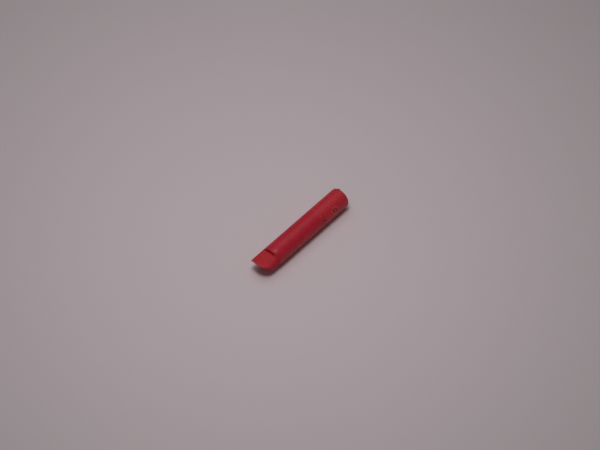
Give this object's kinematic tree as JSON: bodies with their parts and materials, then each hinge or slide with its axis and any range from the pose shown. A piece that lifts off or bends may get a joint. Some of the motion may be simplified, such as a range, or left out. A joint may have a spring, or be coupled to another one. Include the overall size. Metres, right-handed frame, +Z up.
{
  "type": "road flare",
  "caption": "Short hand-held road flare: red wound-paper tube with a chisel-ended foot, a tear-off locking band and a push-on cap with a covered striker.",
  "frame": {"origin": "on the resting surface, under the middle of the flare, which lies on its side", "axes": "+X along the flare from the foot to the cap, +Z up, away from the resting surface"},
  "size_m": [0.1406, 0.0254, 0.0263],
  "materials": {
    "foot_plastic": "satin moulded, scuffed at the tip",
    "waxed_paper": "satin wax over red paper",
    "kraft": "matte wound kraft paper",
    "card": "matte grey card",
    "clay": "dry tamped clay",
    "charge": "pressed granular composition",
    "first_fire": "pressed granular composition",
    "igniter": "rough match composition",
    "collar_plastic": "satin moulded",
    "cap_plastic": "satin moulded, slightly mottled",
    "felt": "grey felt",
    "striker_wood": "raw wood",
    "striker": "coarse abrasive striking surface",
    "tack_steel": "steel dipped in red lacquer"
  },
  "bodies": {
    "body": {"foot_plug": "foot_plastic", "foot_tack_1": "tack_steel", "foot_tack_2": "tack_steel", "foot_tack_3": "tack_steel", "base_disc": "card", "clay_plug": "clay", "main_charge": "charge", "first_fire": "first_fire", "igniter_button": "igniter", "igniter_washer": "card", "inner_tube": "kraft", "body_tube": "kraft", "outer_wrap": "waxed_paper", "neck_collar": "collar_plastic"},
    "band": {"tear_band": "cap_plastic"},
    "tab": {"tear_tab": "cap_plastic"},
    "cap": {"cap_shell": "cap_plastic", "cap_cushion": "felt", "striker_carrier": "striker_wood", "striker_pad": "striker"},
    "cover": {"striker_cover": "cap_plastic"}
  },
  "joints": [
    {"name": "cap_twist", "type": "hinge", "parent": "body", "child": "band", "pos_m": [0.0278, 0, 0.0127], "axis": [1, 0, 0], "continuous": true},
    {"name": "tab_lift", "type": "hinge", "parent": "band", "child": "tab", "pos_m": [0.02775, -0.01234, 0.01212], "axis": [1, 0, 0], "range_deg": [0, 100]},
    {"name": "cap_pull", "type": "slide", "parent": "band", "child": "cap", "axis": [1, 0, 0], "range_m": [0, 0.04]},
    {"name": "cover_pull", "type": "slide", "parent": "cap", "child": "cover", "axis": [1, 0, 0], "range_m": [0, 0.015]}
  ]
}
